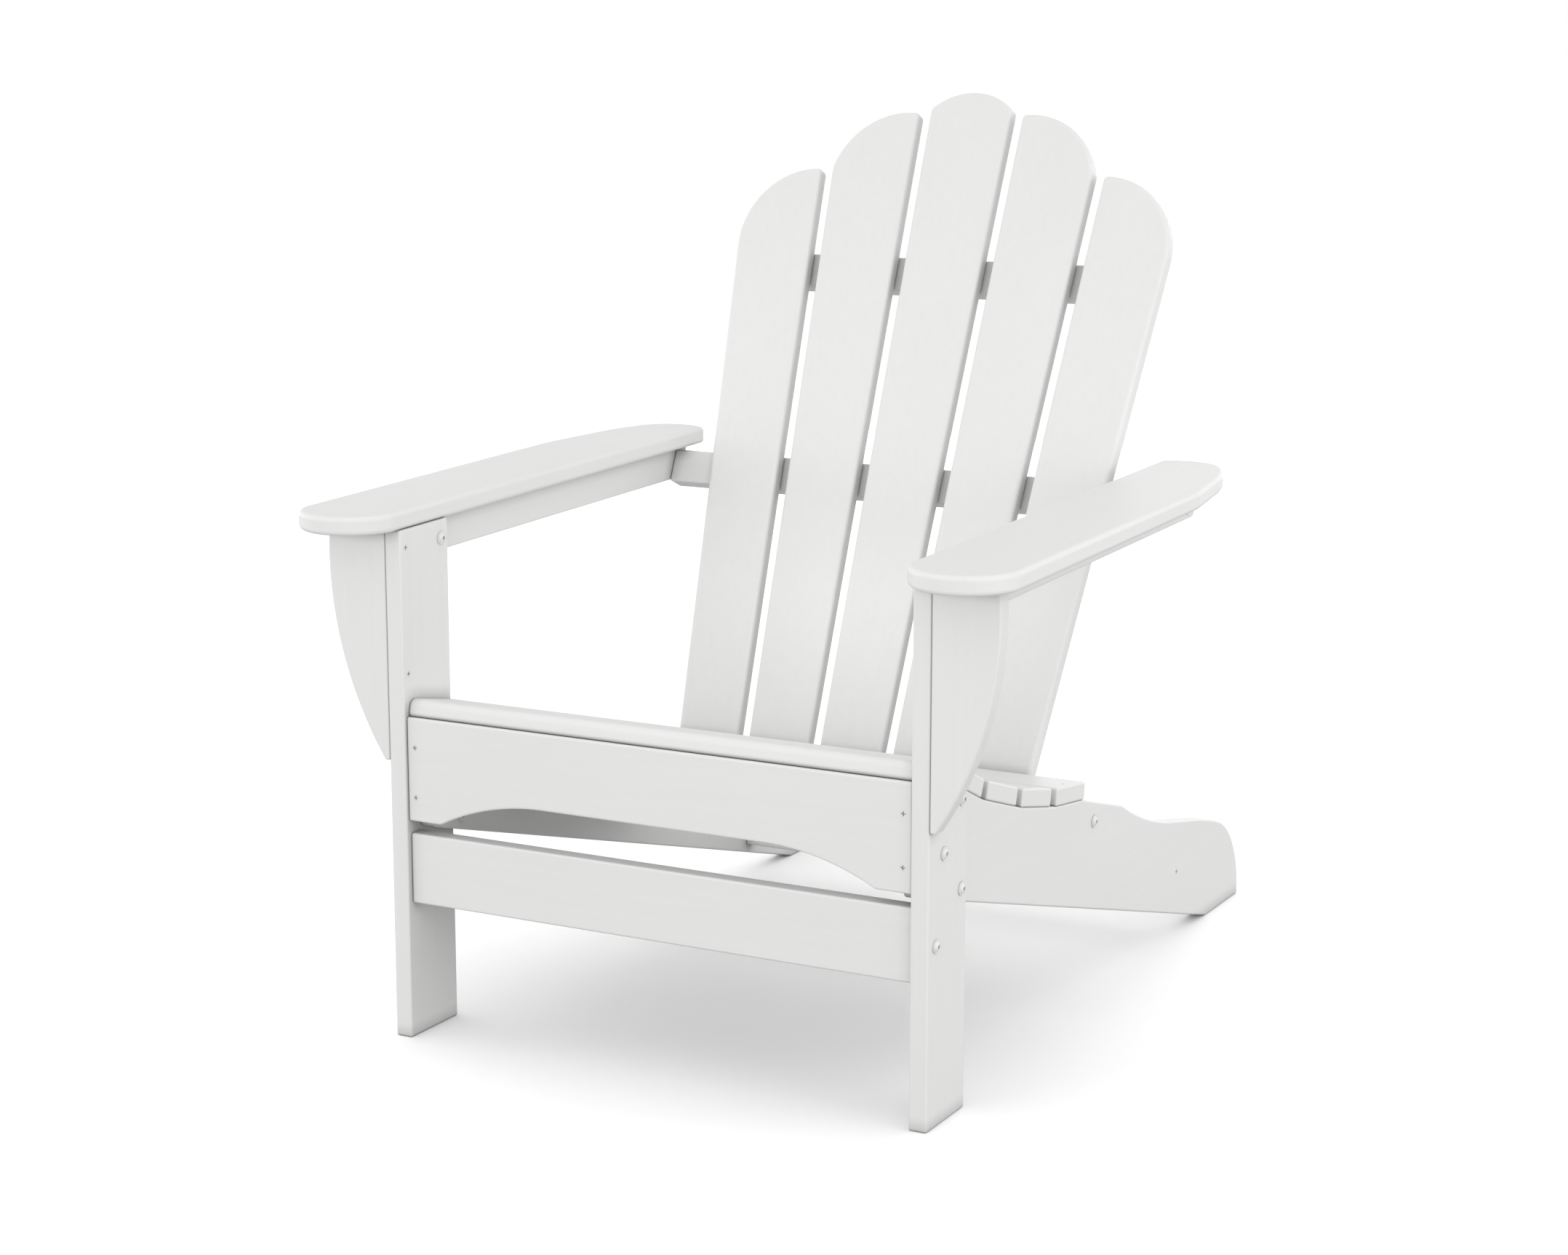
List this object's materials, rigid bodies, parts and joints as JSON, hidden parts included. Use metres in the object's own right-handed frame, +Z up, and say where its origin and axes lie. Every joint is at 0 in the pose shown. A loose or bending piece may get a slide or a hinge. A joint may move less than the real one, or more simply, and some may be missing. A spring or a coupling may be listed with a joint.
{
  "type": "adirondack chair",
  "caption": "Fan-back Adirondack garden chair of thick soft-edged plastic boards: sloping slatted seat, fanned tapered back slats, wide flat arms on brackets and rails.",
  "frame": {"origin": "middle of the bounding box's footprint, on the ground under the chair", "axes": "+Z up, +Y to the rear of the chair, +X to the sitter's left; the chair is symmetric across the plane X = 0"},
  "size_m": [0.7892, 0.9642, 0.9494],
  "materials": {
    "board": "white recycled-plastic lumber, soft satin with a faint moulded grain",
    "coated_bolt": "white powder coat, satin",
    "screw": "off-white coated steel, satin",
    "bare_nut": "plain zinc-plated steel"
  },
  "bodies": {
    "root": {"apron_screws": "screw", "arm_bracket_left": "board", "arm_bracket_right": "board", "arm_left": "board", "arm_rail_barrel_nuts": "coated_bolt", "arm_rail_bolts": "coated_bolt", "arm_rail_left": "board", "arm_rail_right": "board", "arm_right": "board", "arm_screws": "screw", "back_cleat": "board", "back_rail_bolts": "coated_bolt", "back_rail_cross_nuts": "bare_nut", "back_rail_lower": "board", "back_rail_upper": "board", "back_slat_1": "board", "back_slat_2": "board", "back_slat_3": "board", "back_slat_4": "board", "back_slat_5": "board", "back_slat_screws": "screw", "bracket_screws": "screw", "cleat_bolts": "coated_bolt", "cleat_cross_nuts": "bare_nut", "front_apron": "board", "front_leg_left": "board", "front_leg_right": "board", "front_stretcher": "board", "leg_barrel_nuts": "coated_bolt", "leg_bolts": "coated_bolt", "rear_stretcher": "board", "rear_stretcher_screws": "screw", "seat_slat_1": "board", "seat_slat_2": "board", "seat_slat_3": "board", "seat_slat_4": "board", "seat_slat_5": "board", "seat_slat_screws": "screw", "stretcher_bolts": "coated_bolt", "stretcher_cross_nuts": "bare_nut", "stringer_left": "board", "stringer_right": "board"}
  },
  "joints": []
}
